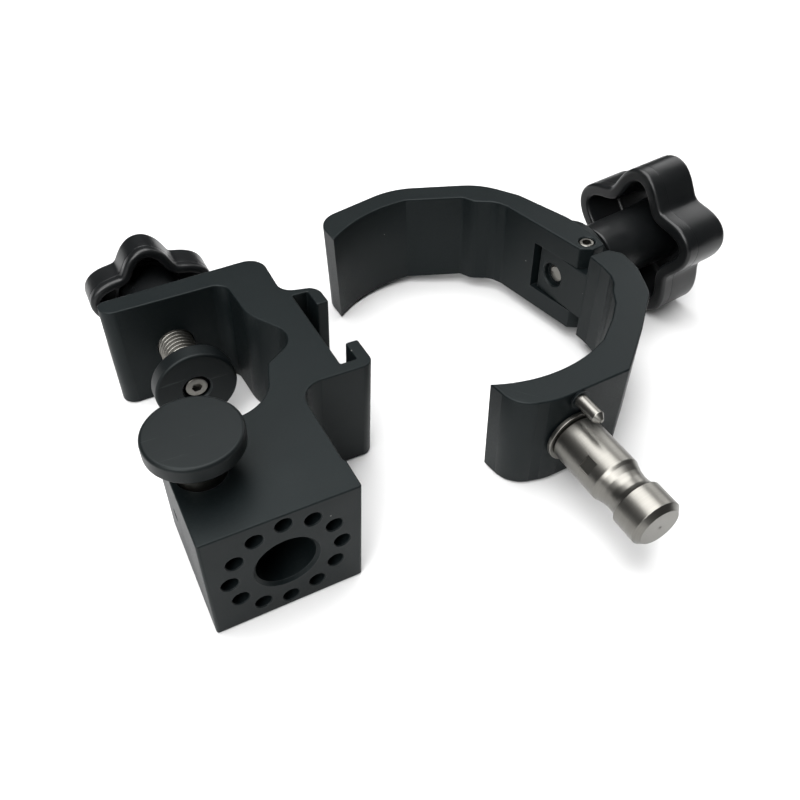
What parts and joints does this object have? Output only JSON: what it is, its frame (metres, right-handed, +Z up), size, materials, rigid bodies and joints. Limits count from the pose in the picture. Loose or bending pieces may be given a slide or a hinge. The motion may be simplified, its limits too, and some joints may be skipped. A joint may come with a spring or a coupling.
{
  "type": "pipe clamp",
  "caption": "Pipe clamp set: pole clamp with screw pad, slotted rail, indexing socket and release button, and a hinged claw clamp with star knob, spigot and index pin",
  "frame": {"origin": "bottom centre of the bounding box of the whole set, on the surface it lies on", "axes": "+X from the pole clamp to the claw clamp, +Y from the socket face towards the clamp screw's knob, +Z up from the surface"},
  "size_m": [0.222, 0.1694, 0.0571],
  "materials": {
    "anodised": "matte black anodised",
    "plastic": "moulded black plastic, slight sheen",
    "stainless": "turned and satin polished",
    "spring_steel": "drawn wire"
  },
  "bodies": {
    "clamp": {"clamp_body": "anodised", "spring_plug": "anodised", "plunger_stop_pin": "stainless", "plunger_spring": "spring_steel"},
    "pad": {"clamp_pad": "anodised"},
    "pad_drive": {"clamp_screw": "stainless", "pad_screw": "stainless", "clamp_knob": "plastic"},
    "release": {"release_button": "anodised", "lock_plunger": "stainless"},
    "claw": {"fixed_jaw": "anodised", "spigot": "stainless", "spigot_collar": "stainless", "spigot_bolt": "stainless", "index_pin": "stainless", "hinge_pin": "stainless"},
    "jaw": {"swing_jaw": "anodised", "dome_seat": "anodised"},
    "cup": {"cup_washer": "anodised"},
    "tension_drive": {"tension_screw": "stainless", "tension_knob": "plastic"}
  },
  "joints": [
    {"name": "pad_slide", "type": "slide", "parent": "clamp", "child": "pad", "axis": [0, -1, 0], "range_m": [-0.0157, 0.0022]},
    {"name": "screw_spin", "type": "hinge", "parent": "pad", "child": "pad_drive", "pos_m": [-0.08684, 0.03968, 0.01901], "axis": [0, -1, 0], "range_deg": [-3240, 460]},
    {"name": "button_press", "type": "slide", "parent": "clamp", "child": "release", "axis": [0, 0, -1], "range_m": [0, 0.0085], "stiffness_N_per_m": 400, "springref_m": -0.005, "deforming": ["plunger_spring"]},
    {"name": "claw_lift", "type": "slide", "parent": "clamp", "child": "claw", "axis": [0, 0, 1], "range_m": [0, 0.1]},
    {"name": "swing_jaw_hinge", "type": "hinge", "parent": "claw", "child": "jaw", "pos_m": [0.0552, 0.01306, 0.02344], "axis": [-0.0756, -0.0079, 0.9971], "range_deg": [-9, 7]},
    {"name": "tension_advance", "type": "slide", "parent": "claw", "child": "cup", "axis": [-0.9933, -0.0869, -0.076], "range_m": [-0.00142, 0.00111]},
    {"name": "tension_spin", "type": "hinge", "parent": "cup", "child": "tension_drive", "pos_m": [0.05081, 0.02196, 0.02318], "axis": [-0.9933, -0.0869, -0.076], "range_deg": [-412, 322]}
  ],
  "couplings": [
    {"joint": "screw_spin", "follows": "pad_slide", "rad_per_m": 3590.4},
    {"joint": "tension_spin", "follows": "tension_advance", "rad_per_m": 5026.6},
    {"joint": "swing_jaw_hinge", "follows": "tension_advance", "rad_per_m": 108.1}
  ]
}
